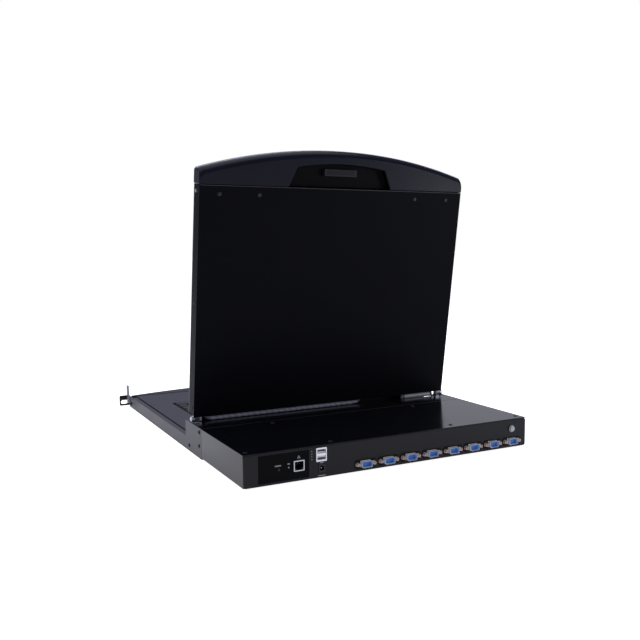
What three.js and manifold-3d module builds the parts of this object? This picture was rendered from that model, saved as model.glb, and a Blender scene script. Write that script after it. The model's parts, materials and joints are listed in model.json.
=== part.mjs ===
// A rack console: an eight-port KVM switch module carries two side rails, and a drawer with a keyboard,
// a touchpad and a hinged display runs forward between them on telescopic slides.
// Millimetres. +Z is up, the user stands at -Y, the connectors face +Y, and +X is the user's right.
// Inside the console group Y is 0 at the outer face of the rear panel.
import * as THREE from "three";
import { mergeVertices } from "three/addons/utils/BufferGeometryUtils.js";
import Module from "manifold-3d";

const wasm = await Module();
wasm.setup();

// ---- driving dimensions -------------------------------------------------------------------------

const seatGap = 0.3; // between pieces that touch
const runGap = 0.4; // between pieces that move past each other
const past = 1; // a cut starts and ends this far outside what it cuts
const sink = 0.5; // a solid reaches this far into the one it is joined to
const hair = 0.01; // keeps the straight side of a full round from vanishing
const sheet = 1.2; // folded steel
const bodyWidth = 448;
const bodyHeight = 44;
const railHeight = 20;
const railNose = 6; // the rail's front lower corner is cut back by this
const moduleDepth = 157;
const bracketDepth = 72;
const frontDepth = 609; // from the rear panel to the middle of the curved front
const frontRadius = 777;
const connectorReach = 6.5; // connectors stand out of the rear panel this far
const moduleFootGap = 2;
const baseFlange = 12;
const panelCorner = 3;

const earReach = 17.3; // beyond the body's side
const earHoleInset = 8.75; // from the ear's tip to the middle of its slot
const earLead = 8.5; // the ears' front face is this far ahead of the bezel's rear
const ear = { thickness: 2, bottom: 1.5, top: 20.5, corner: 2.5, webDepth: 16 };
const earSlot = { length: 13, height: 7.2, z: 8.3 };
const guide = { thickness: 3, depth: 8, top: 40, foot: 7, stand: 1.1, corner: 1.8 };

const bridgeDepth = 41.5;
const bridgeLip = 12;

const slideRoom = 13; // from the outer face of a rail to the side of the drawer
const slideSheet = 1.2;
const slideMemberStep = 2.2; // a member sits inside the next one by this much
const outerSlide = { bottom: 2, top: 18 };
const slideRearGap = 11; // behind the slides, to the module
const slideFrontGap = 11.5; // ahead of the slides, to the bezel's rear

const trayFloor = 0.6;
const trayWallTop = 16;
const trayRearGap = 6; // behind the tray, to the module
const deckTop = 18.5;
const deckSheet = 2;
const bezel = { rise: 1, endDepth: 5.76, wall: 2.6, solidEnd: 12 };
const palmDepth = 93.5;

const keyGap = 3;
const keyRows = 6;
const keyField = { sideMargin: 40, depth: 121, lip: 3, edge: 2 };
const keyRise = 1.3; // above the deck
const keyWeb = { bottom: 5.5, top: 3.9, inset: 3 }; // below the deck's top
const keyboardBase = { bottom: 6, top: 8, margin: 6 };

const touchpad = { width: 66, depth: 48, setBack: 13, drop: 0.3 };
const touchButton = { width: 32, depth: 13, gap: 2, rise: 0.6, skirt: 1 };

const hingeSetBack = 51.7; // from the front of the module to the hinge axis
const hingeDrop = 4.5; // from the top of the body to the hinge axis
const leanBack = 8.2; // degrees past upright
const hingePin = 2.4;
const hingeKnuckle = 4.8;
const hingeArm = { inset: 1.6, rise: 30, front: -4, back: 3 };
const hingePlate = { thickness: 3.4, halfDepth: 7.5, sideGap: 0.6, pinEndGap: 0.9 };
const hingeBoss = { radius: 4.2, proud: 2.5, s: 8, trim: 9 };
const deckRearGap = 9; // from the hinge knuckles to the keyboard deck

const lidSideInset = 4.2; // the lid is narrower than the body by this, each side
const lidBottom = 12; // from the hinge axis to the lower edge
const lidSeam = 346; // from the hinge axis to the seam under the handle
const lidBack = 4.5;
const lidFront = -19;
const bezelThickness = 2.9;
const bezelLip = { bottom: -6, sideGap: 6 }; // closes the view under the lid, between the brackets
const handleRise = 54.5; // from the seam to the middle of the arched top
const handleOverhang = 1;
const handleCorner = 3;
const recess = { bottomHalf: 86.5, topHalf: 73.5, side: 29, top: 35.4, floor: -8 };
const screen = { width: 337.9, height: 270.4, middle: 182 };
const panel = { width: 358.5, height: 296.5, depth: 9.5 };
const latchSlider = { width: 54, height: 10, rise: 23, depth: 7.5 };
const latchRib = { inset: 4, pitch: 2.4, width: 1, count: 3 };
const latchPin = { radius: 2.2, drop: 9, t: -6, length: 18.3, proud: 2.5 };
const powerButton = { radius: 4, x: 150, proud: 0.5, tail: 2 };
const osdKey = { width: 10, height: 4.5, pitch: 15, count: 4, x: 78, web: 1.4, proud: 0.5 };
const buttonRow = 29; // from the hinge axis to the buttons under the screen
const cable = { radius: 3.5, left: -52, sideGap: 18, s: 7.1, t: -1, bend: 9, top: 24, slotPlay: 3 };
const hingeTube = { radius: 4, length: 60, sideGap: 8 };

const portCount = 8;
const portPitch = 35.56;
const lastPortInset = 26.08; // from the side of the body to the last port
const portZ = 11.3;
const portBody = { width: 30.8, height: 11.6, depth: 11 };
const portShell = { top: 16.9, bottom: 14.6, height: 8.4, corner: 2.2 };
const jackPost = { spacing: 25, radius: 2.6, reach: 5 };
const portHoleGap = 0.5;

// Across, the sockets are placed from the right side of the body, and the ground screw from the left.
const lanPlate = { inset: 20, width: 69.6, bottom: 5.2, top: 40.2 };
const lanJack = { inset: 75.4, z: 22.7, width: 17, height: 14.6, depth: 16 };
const lanPlug = { width: 11.7, height: 8, depth: 13 };
const lanLatch = { width: 6.2, height: 2.6, overlap: 0.1 };
const usbStack = { inset: 107.3, z: 32, width: 14.1, height: 16.9, depth: 17 };
const usbPlug = { width: 12.3, height: 5, depth: 12 };
const dcJack = { inset: 108, z: 14, width: 9.6, height: 11, depth: 14, bore: 3.3, boreDepth: 10 };
const socketReach = 0.8;
const resetButton = { inset: 47.8, z: 19.8, radius: 1.6, depth: 5, proud: 0.3 };
const groundScrew = { inset: 26.4, z: 29.5, washer: 5, washerTop: 1.1, head: 3.9, headTop: 3.2 };
const groundShank = { radius: 1.8, length: 8 };
const board = { thickness: 1.6, z: 7, inset: 9, rear: 19, frontGap: 7 };

const round = { fine: 24, plain: 16, coarse: 12 }; // sides of a circle

// ---- derived places -----------------------------------------------------------------------------

const bodyHalf = bodyWidth / 2;
const railInner = bodyHalf - sheet;
const earTip = bodyHalf + earReach;
const drawerHalf = bodyHalf - slideRoom;
const lidHalf = bodyHalf - lidSideInset;
const overallDepth = frontDepth + connectorReach;
const moduleFront = -moduleDepth;
const frontArcDrop = frontRadius - Math.sqrt(frontRadius ** 2 - lidHalf ** 2);
const bezelRear = frontDepth - frontArcDrop - bezel.endDepth;
const bezelTop = deckTop + bezel.rise;
const earFace = -bezelRear - earLead;
const palmRear = bezelRear - palmDepth;
const keyFieldRear = palmRear - keyField.depth;
const keyFieldHalf = drawerHalf - keyField.sideMargin;
const touchpadRear = palmRear + touchpad.setBack;
const hingeDepth = moduleDepth + hingeSetBack;
const hingeHeight = bodyHeight - hingeDrop;
const hingePlateOuter = drawerHalf - sheet - runGap;
const hingeArmInner = hingePlateOuter + hingePlate.sideGap;
const hingeArmOuter = lidHalf - hingeArm.inset;
const handleMiddle = lidSeam + handleRise;

// ---- solids -------------------------------------------------------------------------------------

function toSolid(geometry) {
  const bare = geometry.index ? geometry.toNonIndexed() : geometry.clone();
  bare.deleteAttribute("normal");
  bare.deleteAttribute("uv");
  const merged = mergeVertices(bare, 1e-3);
  const vertProperties = merged.attributes.position.array;
  const triVerts = new Uint32Array(merged.index.array);
  return new wasm.Manifold(new wasm.Mesh({ numProp: 3, vertProperties, triVerts }));
}

function toGeometry(solid) {
  const { vertProperties, triVerts } = solid.getMesh();
  const geometry = new THREE.BufferGeometry();
  geometry.setAttribute("position", new THREE.Float32BufferAttribute(vertProperties, 3));
  geometry.setIndex(new THREE.BufferAttribute(new Uint32Array(triVerts), 1));
  geometry.computeVertexNormals();
  return geometry;
}

function box([x0, x1], [y0, y1], [z0, z1]) {
  const geometry = new THREE.BoxGeometry(Math.abs(x1 - x0), Math.abs(y1 - y0), Math.abs(z1 - z0));
  return toSolid(geometry.translate((x0 + x1) / 2, (y0 + y1) / 2, (z0 + z1) / 2));
}

// A prism whose outline is drawn in one plane and which runs from one place to another across it.
function prism(shape, across, from, to, curveSegments = 6) {
  const depth = Math.abs(to - from);
  const geometry = new THREE.ExtrudeGeometry(shape, { depth, bevelEnabled: false, curveSegments });
  geometry.translate(0, 0, Math.min(from, to));
  const turn = new THREE.Matrix4();
  const [X, Y, Z] = [new THREE.Vector3(1, 0, 0), new THREE.Vector3(0, 1, 0), new THREE.Vector3(0, 0, 1)];
  if (across === "x") turn.makeBasis(Y, Z, X);
  if (across === "y") turn.makeBasis(X, Z, Y.clone().negate());
  if (across === "y") geometry.translate(0, 0, -(from + to));
  return toSolid(geometry.applyMatrix4(turn));
}

function rod(across, radius, from, to, [a, b], segments = 20) {
  const geometry = new THREE.CylinderGeometry(radius, radius, Math.abs(to - from), segments);
  const middle = (from + to) / 2;
  if (across === "x") geometry.rotateZ(Math.PI / 2).translate(middle, a, b);
  if (across === "y") geometry.translate(a, middle, b);
  if (across === "z") geometry.rotateX(Math.PI / 2).translate(a, b, middle);
  return toSolid(geometry);
}

function outline(points) {
  return new THREE.Shape(points.map(([x, y]) => new THREE.Vector2(x, y)));
}

function roundedOutline([x0, x1], [y0, y1], radius) {
  const shape = new THREE.Shape();
  shape.moveTo(x0 + radius, y0);
  shape.lineTo(x1 - radius, y0);
  shape.absarc(x1 - radius, y0 + radius, radius, -Math.PI / 2, 0, false);
  shape.lineTo(x1, y1 - radius);
  shape.absarc(x1 - radius, y1 - radius, radius, 0, Math.PI / 2, false);
  shape.lineTo(x0 + radius, y1);
  shape.absarc(x0 + radius, y1 - radius, radius, Math.PI / 2, Math.PI, false);
  shape.lineTo(x0, y0 + radius);
  shape.absarc(x0 + radius, y0 + radius, radius, Math.PI, Math.PI * 1.5, false);
  return shape;
}

const join = (first, ...others) => others.reduce((sum, solid) => sum.add(solid), first);
const cut = (first, ...others) => others.reduce((rest, solid) => rest.subtract(solid), first);
const mirrored = (side, [a, b]) => (side > 0 ? [a, b] : [-b, -a]);
const span = (middle, size, grow = 0) => [middle - size / 2 - grow, middle + size / 2 + grow];

// ---- finishes -----------------------------------------------------------------------------------

const finishes = {
  blackSteel: [0x24242c, 0.55, 0.35],
  darkPlastic: [0x2b2b34, 0.5, 0],
  deckPlastic: [0x3a3942, 0.6, 0],
  zinc: [0xb8bcc4, 0.35, 0.9],
  nickel: [0xd8dade, 0.25, 1],
  bluePlastic: [0x2a68b8, 0.45, 0],
  screenGlass: [0x08090c, 0.12, 0],
  cableSleeve: [0x55555e, 0.65, 0],
  circuitGreen: [0x1f5a38, 0.55, 0],
};

const part = new THREE.Group();
const console1U = new THREE.Group();
const lid = new THREE.Group();
console1U.position.y = overallDepth / 2 - connectorReach;
lid.position.set(0, -hingeDepth, hingeHeight);
lid.rotation.x = THREE.MathUtils.degToRad(-leanBack);
console1U.add(lid);
part.add(console1U);

function piece(group, name, solid, finish) {
  const [color, roughness, metalness] = finishes[finish];
  const material = new THREE.MeshStandardMaterial({ color, roughness, metalness });
  const mesh = new THREE.Mesh(toGeometry(solid), material);
  mesh.name = name;
  group.add(mesh);
}

const sides = { right: 1, left: -1 };

// ---- housing: rails, ears and guides ------------------------------------------------------------

function sideRail(side) {
  const front = earFace + ear.thickness + seatGap;
  const rear = moduleFront - seatGap;
  const step = moduleFront - bracketDepth;
  const wall = outline([
    [front + railNose, 0],
    [rear, 0],
    [rear, bodyHeight],
    [step, bodyHeight],
    [step, railHeight],
    [front, railHeight],
    [front, railNose],
  ]);
  const web = prism(wall, "x", ...mirrored(side, [railInner, bodyHalf]));
  const flangeX = mirrored(side, [drawerHalf + runGap, railInner + seatGap]);
  return join(web, box(flangeX, [-bezelRear + seatGap, rear], [0, sheet]));
}

function rackEar(side) {
  const back = earFace + ear.thickness;
  const height = [ear.bottom, ear.top];
  const webInner = railInner - seatGap - sheet;
  const slotX = span(earTip - earHoleInset, earSlot.length);
  const slotZ = span(earSlot.z, earSlot.height);
  const plateOutline = roundedOutline(mirrored(side, [webInner, earTip]), height, ear.corner);
  const slotOutline = roundedOutline(mirrored(side, slotX), slotZ, earSlot.height / 2 - hair);
  const plate = prism(plateOutline, "y", earFace, back, 2);
  const slot = prism(slotOutline, "y", earFace - past, back + past);
  const webY = [earFace + ear.thickness / 2, back + ear.webDepth];
  const web = box(mirrored(side, [webInner, railInner - seatGap]), webY, [ear.bottom, railHeight - sheet]);
  return join(cut(plate, slot), web);
}

function lidGuide(side) {
  const front = earFace + ear.thickness + seatGap;
  const lengthY = [front, front + guide.depth];
  const inner = bodyHalf + seatGap;
  const lugInner = inner + guide.stand;
  const foot = box(mirrored(side, [inner, lugInner + sink]), lengthY, [guide.foot, railHeight]);
  const lugShape = roundedOutline(lengthY, [guide.foot, guide.top], guide.corner);
  const lug = prism(lugShape, "x", ...mirrored(side, [lugInner, lugInner + guide.thickness]), 3);
  return join(foot, lug);
}

for (const [name, side] of Object.entries(sides)) {
  piece(console1U, "side_rail_" + name, sideRail(side), "blackSteel");
  piece(console1U, "ear_" + name, rackEar(side), "blackSteel");
  piece(console1U, "lid_guide_" + name, lidGuide(side), "zinc");
}

function rearBridge() {
  const half = railInner - seatGap;
  const rear = moduleFront - seatGap;
  const top = box([-half, half], [rear - bridgeDepth, rear], [bodyHeight - sheet, bodyHeight]);
  const lip = box([-half, half], [rear - sheet, rear], [bodyHeight - bridgeLip, bodyHeight - sheet / 2]);
  return join(top, lip);
}
piece(console1U, "rear_bridge", rearBridge(), "blackSteel");

// ---- housing: telescopic slides -----------------------------------------------------------------

// A slide member is a channel; the level says how far it sits inside the outer one.
function slideMember(side, level, outerX, innerX) {
  const inset = level * (slideSheet + runGap);
  const [bottom, top] = [outerSlide.bottom + inset, outerSlide.top - inset];
  const length = [-bezelRear + slideFrontGap, moduleFront - slideRearGap];
  const opensOut = level === 2;
  const webX = opensOut ? [innerX, innerX + slideSheet] : [outerX - slideSheet, outerX];
  const web = box(mirrored(side, webX), length, [bottom, top]);
  const low = box(mirrored(side, [innerX, outerX]), length, [bottom, bottom + slideSheet]);
  const high = box(mirrored(side, [innerX, outerX]), length, [top - slideSheet, top]);
  return join(web, low, high);
}

const outerSlideFace = railInner - seatGap;
const innerSlideFace = drawerHalf + seatGap;
for (const [name, side] of Object.entries(sides)) {
  const outer = slideMember(side, 0, outerSlideFace, innerSlideFace + slideMemberStep);
  const middle = slideMember(side, 1, outerSlideFace - slideMemberStep, innerSlideFace + slideMemberStep);
  const inner = slideMember(side, 2, outerSlideFace - 2 * slideMemberStep, innerSlideFace);
  piece(console1U, "slide_outer_" + name, outer, "zinc");
  piece(console1U, "slide_middle_" + name, middle, "zinc");
  piece(console1U, "slide_inner_" + name, inner, "zinc");
}

// ---- housing: switch module ---------------------------------------------------------------------

function moduleBase() {
  const half = railInner - seatGap;
  const [front, rear] = [moduleFront, -sheet - seatGap];
  const bottom = [moduleFootGap, moduleFootGap + sheet];
  const floor = box([-half, half], [front, rear], bottom);
  const wallZ = [moduleFootGap, bodyHeight - sheet - seatGap];
  const frontWall = box([-half, half], [front, front + sheet], wallZ);
  const flanges = Object.values(sides).map((side) =>
    box(mirrored(side, [half - sheet, half]), [front, rear], [moduleFootGap, moduleFootGap + baseFlange]),
  );
  return join(floor, frontWall, ...flanges);
}

function moduleCover() {
  const top = box([-bodyHalf, bodyHalf], [moduleFront, 0], [bodyHeight - sheet, bodyHeight]);
  const wallY = [moduleFront, -sheet - seatGap];
  const wallZ = [moduleFootGap, bodyHeight - sheet / 2];
  const walls = Object.values(sides).map((side) =>
    box(mirrored(side, [railInner, bodyHalf]), wallY, wallZ),
  );
  return join(top, ...walls);
}

const portX = (index) => -bodyHalf + lastPortInset + (portCount - 1 - index) * portPitch;

function shellOutline(x, z, grow) {
  const halfHeight = portShell.height / 2 + grow;
  const [topHalf, bottomHalf] = [portShell.top / 2 + grow, portShell.bottom / 2 + grow];
  const chamfer = portShell.corner;
  return outline([
    [x - bottomHalf + chamfer, z - halfHeight],
    [x + bottomHalf - chamfer, z - halfHeight],
    [x + bottomHalf, z - halfHeight + chamfer],
    [x + topHalf, z + halfHeight - chamfer],
    [x + topHalf - chamfer, z + halfHeight],
    [x - topHalf + chamfer, z + halfHeight],
    [x - topHalf, z + halfHeight - chamfer],
    [x - bottomHalf, z - halfHeight + chamfer],
  ]);
}

function posts(x, radius, from, to, segments) {
  const ends = span(x, jackPost.spacing);
  return ends.map((end) => rod("y", radius, from, to, [end, portZ], segments));
}

function videoPort(x) {
  const back = -sheet - seatGap;
  const body = box(span(x, portBody.width), [back - portBody.depth, back], span(portZ, portBody.height));
  const shell = prism(shellOutline(x, portZ, 0), "y", back - sink, connectorReach);
  return join(body, shell, ...posts(x, jackPost.radius, back - sink, jackPost.reach, 6));
}

const throughPanel = [-sheet - past, past];
const socketX = (socket) => bodyHalf - socket.inset;
const groundScrewX = -bodyHalf + groundScrew.inset;
const lanPlateX = [bodyHalf - lanPlate.inset - lanPlate.width, bodyHalf - lanPlate.inset];

function rearPanel() {
  const top = bodyHeight - sheet - seatGap;
  const plateOutline = roundedOutline([-bodyHalf, bodyHalf], [moduleFootGap, top], panelCorner);
  const plate = prism(plateOutline, "y", -sheet, 0, 3);
  const plateZ = [lanPlate.bottom - seatGap, lanPlate.top + seatGap];
  const usbX = span(socketX(usbStack), usbStack.width, seatGap);
  const openings = [
    box([lanPlateX[0] - seatGap, lanPlateX[1] + seatGap], throughPanel, plateZ),
    box(usbX, throughPanel, span(usbStack.z, usbStack.height, seatGap)),
    box(span(socketX(dcJack), dcJack.width, seatGap), throughPanel, span(dcJack.z, dcJack.height, seatGap)),
    rod("y", groundShank.radius + seatGap, ...throughPanel, [groundScrewX, groundScrew.z], round.coarse),
  ];
  for (let index = 0; index < portCount; index += 1) {
    const x = portX(index);
    openings.push(prism(shellOutline(x, portZ, portHoleGap), "y", ...throughPanel));
    openings.push(...posts(x, jackPost.radius + portHoleGap, ...throughPanel, round.coarse));
  }
  return cut(plate, ...openings);
}

function lanPlateSolid() {
  const plate = box(lanPlateX, [-sheet, 0], [lanPlate.bottom, lanPlate.top]);
  const jackX = span(socketX(lanJack), lanJack.width, seatGap);
  const jack = box(jackX, throughPanel, span(lanJack.z, lanJack.height, seatGap));
  const buttonAt = [socketX(resetButton), resetButton.z];
  const button = rod("y", resetButton.radius + runGap, ...throughPanel, buttonAt, round.plain);
  return cut(plate, jack, button);
}

// A socket's block stands through the panel, and each mouth is a pocket that opens to the rear.
function socketBlock(socket, mouths) {
  const depth = [socketReach - socket.depth, socketReach];
  return cut(box(span(socketX(socket), socket.width), depth, span(socket.z, socket.height)), ...mouths);
}

function mouth(socket, z, plug) {
  const depth = [socketReach - plug.depth, socketReach + past];
  return box(span(socketX(socket), plug.width), depth, span(z, plug.height));
}

function lanJackSolid() {
  const latchZ = lanJack.z - lanPlug.height / 2 - lanLatch.height / 2 + lanLatch.overlap;
  const latch = mouth(lanJack, latchZ, { ...lanLatch, depth: lanPlug.depth });
  return socketBlock(lanJack, [mouth(lanJack, lanJack.z, lanPlug), latch]);
}

function usbStackSolid() {
  const step = usbStack.height / 4;
  const mouths = [-step, step].map((offset) => mouth(usbStack, usbStack.z + offset, usbPlug));
  return socketBlock(usbStack, mouths);
}

function dcJackSolid() {
  const depth = [socketReach - dcJack.boreDepth, socketReach + past];
  return socketBlock(dcJack, [rod("y", dcJack.bore, ...depth, [socketX(dcJack), dcJack.z], round.fine)]);
}

function groundScrewSolid() {
  const at = [groundScrewX, groundScrew.z];
  const { washer, washerTop, head, headTop } = groundScrew;
  return join(
    rod("y", groundShank.radius, -groundShank.length, washerTop, at, round.coarse),
    rod("y", washer, seatGap, washerTop, at, round.fine),
    rod("y", head, seatGap, headTop, at, round.fine),
  );
}

function resetButtonSolid() {
  const at = [socketX(resetButton), resetButton.z];
  return rod("y", resetButton.radius, -resetButton.depth, resetButton.proud, at, round.plain);
}

function mainBoard() {
  const half = railInner - board.inset;
  const lengthY = [moduleFront + board.frontGap, -board.rear];
  return box([-half, half], lengthY, [board.z, board.z + board.thickness]);
}

piece(console1U, "module_base", moduleBase(), "blackSteel");
piece(console1U, "module_cover", moduleCover(), "blackSteel");
piece(console1U, "rear_panel", rearPanel(), "blackSteel");
piece(console1U, "main_board", mainBoard(), "circuitGreen");
for (let index = 0; index < portCount; index += 1) {
  piece(console1U, "video_port_" + (index + 1), videoPort(portX(index)), "bluePlastic");
}
piece(console1U, "lan_plate", lanPlateSolid(), "blackSteel");
piece(console1U, "lan_jack", lanJackSolid(), "nickel");
piece(console1U, "usb_stack", usbStackSolid(), "nickel");
piece(console1U, "dc_jack", dcJackSolid(), "darkPlastic");
piece(console1U, "ground_screw", groundScrewSolid(), "nickel");
piece(console1U, "reset_button", resetButtonSolid(), "darkPlastic");

// ---- drawer -------------------------------------------------------------------------------------

const wallTop = deckTop - deckSheet - seatGap;
const deckZ = [deckTop - deckSheet, deckTop];
const throughDeck = [deckZ[0] - past, deckZ[1] + past];

function tray() {
  const wallsTo = Math.min(trayWallTop, wallTop);
  const rear = moduleFront - trayRearGap;
  const innerHalf = drawerHalf - sheet;
  const block = box([-drawerHalf, drawerHalf], [-bezelRear + seatGap, rear], [trayFloor, wallsTo]);
  const insideZ = [trayFloor + sheet, wallsTo + past];
  return cut(block, box([-innerHalf, innerHalf], [-bezelRear - past, rear - sheet], insideZ));
}

// A block whose front is an arc about the shared centre of the bezel and the lid's handle.
function curvedBlock(half, radius, rearY, [bottom, top]) {
  const shape = new THREE.Shape();
  const angle = Math.asin(half / radius);
  shape.moveTo(half, rearY);
  shape.lineTo(-half, rearY);
  shape.absarc(0, frontRadius - frontDepth, radius, -Math.PI / 2 - angle, -Math.PI / 2 + angle, false);
  return prism(shape, "z", bottom, top, round.fine);
}

// The front bezel's rear stays ahead of the slides and of the ears' webs.
function frontBezel() {
  const block = curvedBlock(lidHalf, frontRadius, -bezelRear, [trayFloor, bezelTop]);
  const innerHalf = drawerHalf - bezel.solidEnd;
  const innerHeight = [trayFloor + bezel.wall, bezelTop - bezel.wall];
  return cut(block, curvedBlock(innerHalf, frontRadius - bezel.wall, -bezelRear + past, innerHeight));
}

const padFront = -touchpadRear - touchpad.depth;
const buttonsY = [padFront - touchButton.gap - touchButton.depth, padFront - touchButton.gap];

function palmRest() {
  const plateY = [-bezelRear + seatGap, -palmRear - seatGap / 2];
  const plate = box([-drawerHalf, drawerHalf], plateY, deckZ);
  const padY = [padFront - seatGap, -touchpadRear + seatGap];
  const padHole = box(span(0, touchpad.width, seatGap), padY, throughDeck);
  const buttonHoleY = [buttonsY[0] - runGap, buttonsY[1] + runGap];
  const buttonHole = box(span(0, 2 * touchButton.width, 2 * runGap), buttonHoleY, throughDeck);
  return cut(plate, padHole, buttonHole);
}

function keyboardDeck() {
  const rear = -hingeDepth - hingeKnuckle - deckRearGap;
  const plate = box([-drawerHalf, drawerHalf], [-palmRear + seatGap / 2, rear], deckZ);
  const field = box([-keyFieldHalf, keyFieldHalf], [-palmRear + keyField.lip, -keyFieldRear], throughDeck);
  return cut(plate, field);
}

function keyboardTray() {
  const half = keyFieldHalf + keyboardBase.margin;
  const lengthY = [-palmRear + keyField.lip, -keyFieldRear + keyboardBase.margin];
  return box([-half, half], lengthY, [keyboardBase.bottom, keyboardBase.top]);
}

// Key widths, in key pitches, from the left of each row; negative ones are spaces.
const rowPlans = [
  [1, -0.5, 1, 1, 1, 1, -0.25, 1, 1, 1, 1, -0.25, 1, 1, 1, 1, 1, 1, 1, 1],
  [1, 1, 1, 1, 1, 1, 1, 1, 1, 1, 1, 1, 1, 2, 1, 1, 1],
  [1.5, 1, 1, 1, 1, 1, 1, 1, 1, 1, 1, 1, 1, 1.5, 1, 1, 1],
  [1.75, 1, 1, 1, 1, 1, 1, 1, 1, 1, 1, 1, 2.25, 1, 1, 1],
  [2.25, 1, 1, 1, 1, 1, 1, 1, 1, 1, 1, 1.75, 1, 1, 1, 1],
  [1.25, 1.25, 1.25, 6.25, 1, 1, 1, 1, 1, 1, 2],
];

function keyRow(index) {
  const plan = rowPlans[index];
  const total = plan.reduce((sum, width) => sum + Math.abs(width), 0);
  const capsHalf = keyFieldHalf - keyField.edge;
  const unit = (2 * capsHalf) / total;
  const rowPitch = (keyField.depth - keyField.lip - 2 * keyField.edge) / keyRows;
  const rear = -keyFieldRear - keyField.edge - index * rowPitch;
  const capY = [rear - rowPitch + keyGap, rear];
  const [webBottom, webTop] = [deckTop - keyWeb.bottom, deckTop - keyWeb.top];
  const webHalf = keyFieldHalf - keyWeb.inset;
  const webY = [capY[0] + keyWeb.inset, capY[1] - keyWeb.inset];
  const web = box([-webHalf, webHalf], webY, [webBottom, webTop]);
  const capZ = [webTop - sink, deckTop + keyRise];
  const caps = [];
  let x = -capsHalf;
  for (const width of plan) {
    const next = x + Math.abs(width) * unit;
    if (width > 0) caps.push(box([x + keyGap / 2, next - keyGap / 2], capY, capZ));
    x = next;
  }
  return join(web, ...caps);
}

function touchButtonSolid(side) {
  const z = [deckZ[0] - touchButton.skirt, deckTop + touchButton.rise];
  return box(mirrored(side, [seatGap, touchButton.width]), buttonsY, z);
}

function hingeBracket(side) {
  const plateX = mirrored(side, [hingePlateOuter - hingePlate.thickness, hingePlateOuter]);
  const plateZ = [trayFloor + sheet + seatGap, hingeHeight - hingeKnuckle];
  const plate = box(plateX, span(-hingeDepth, 2 * hingePlate.halfDepth), plateZ);
  const neck = box(plateX, span(-hingeDepth, 2 * hingeKnuckle), [plateZ[1] - sink, hingeHeight]);
  const axis = [-hingeDepth, hingeHeight];
  const knuckle = rod("x", hingeKnuckle, ...plateX, axis, round.fine);
  const pinX = mirrored(side, [hingePlateOuter - sink, lidHalf - hingePlate.pinEndGap]);
  return join(plate, neck, knuckle, rod("x", hingePin, ...pinX, axis, round.fine));
}

function touchpadSolid() {
  return box(span(0, touchpad.width), [padFront, -touchpadRear], [deckZ[0], deckTop - touchpad.drop]);
}

piece(console1U, "tray", tray(), "blackSteel");
piece(console1U, "front_bezel", frontBezel(), "darkPlastic");
piece(console1U, "palm_rest", palmRest(), "deckPlastic");
piece(console1U, "keyboard_deck", keyboardDeck(), "deckPlastic");
piece(console1U, "keyboard_base", keyboardTray(), "blackSteel");
for (let index = 0; index < keyRows; index += 1) {
  piece(console1U, "key_row_" + (index + 1), keyRow(index), "darkPlastic");
}
piece(console1U, "touchpad", touchpadSolid(), "darkPlastic");
for (const [name, side] of Object.entries(sides)) {
  piece(console1U, "touch_button_" + name, touchButtonSolid(side), "darkPlastic");
  piece(console1U, "hinge_bracket_" + name, hingeBracket(side), "blackSteel");
}

// ---- lid: X across, Y through the lid towards its back, Z up the lid from the hinge axis -----------

const throughLidFoot = [lidBottom - past, lidBottom + sheet + past];
const latchPinAt = [latchPin.t, lidSeam - latchPin.drop];

function lidShell() {
  const frontEdge = lidFront + bezelThickness + seatGap;
  const outer = box([-lidHalf, lidHalf], [frontEdge, lidBack], [lidBottom, lidSeam]);
  const hollowX = [-lidHalf + sheet, lidHalf - sheet];
  const hollow = box(hollowX, [frontEdge - past, lidBack - sheet], [lidBottom + sheet, lidSeam - sheet]);
  const notchY = [frontEdge - past, hingeArm.back + seatGap];
  const notches = Object.values(sides).map((side) =>
    box(mirrored(side, [hingeArmInner - seatGap, lidHalf + past]), notchY, throughLidFoot),
  );
  const pinHoleX = [-lidHalf - past, lidHalf + past];
  const pinHoles = rod("x", latchPin.radius + runGap, ...pinHoleX, latchPinAt, round.plain);
  return cut(outer, hollow, ...notches, ...cableSlots(), pinHoles);
}

function handleOutline() {
  const half = lidHalf + handleOverhang;
  const bottom = lidSeam + seatGap;
  const centre = handleMiddle - frontRadius;
  const angle = Math.asin((half - handleCorner) / frontRadius);
  const sideTop = centre + frontRadius * Math.cos(angle) - handleCorner;
  const shape = new THREE.Shape();
  shape.moveTo(-half, bottom);
  shape.lineTo(half, bottom);
  shape.lineTo(half, sideTop);
  shape.absarc(0, centre, frontRadius, Math.PI / 2 - angle, Math.PI / 2 + angle, false);
  shape.lineTo(-half, sideTop);
  return shape;
}

// The finger recess opens down to the seam, so the sheet's upper edge shows along its foot.
function recessOutline() {
  const rise = recess.top - recess.side;
  const radius = (recess.topHalf ** 2 + rise ** 2) / (2 * rise);
  const angle = Math.asin(recess.topHalf / radius);
  const shape = new THREE.Shape();
  shape.moveTo(-recess.bottomHalf, lidSeam - past);
  shape.lineTo(recess.bottomHalf, lidSeam - past);
  shape.absarc(0, lidSeam + recess.top - radius, radius, Math.PI / 2 - angle, Math.PI / 2 + angle, false);
  return shape;
}

function handle() {
  const body = prism(handleOutline(), "y", lidFront, lidBack, round.fine);
  return cut(body, prism(recessOutline(), "y", recess.floor, lidBack + past, round.coarse));
}

const buttonHoleX = (index) => osdKey.x + index * osdKey.pitch;
const osdKeyList = Array.from({ length: osdKey.count }, (_, index) => index);

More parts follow.
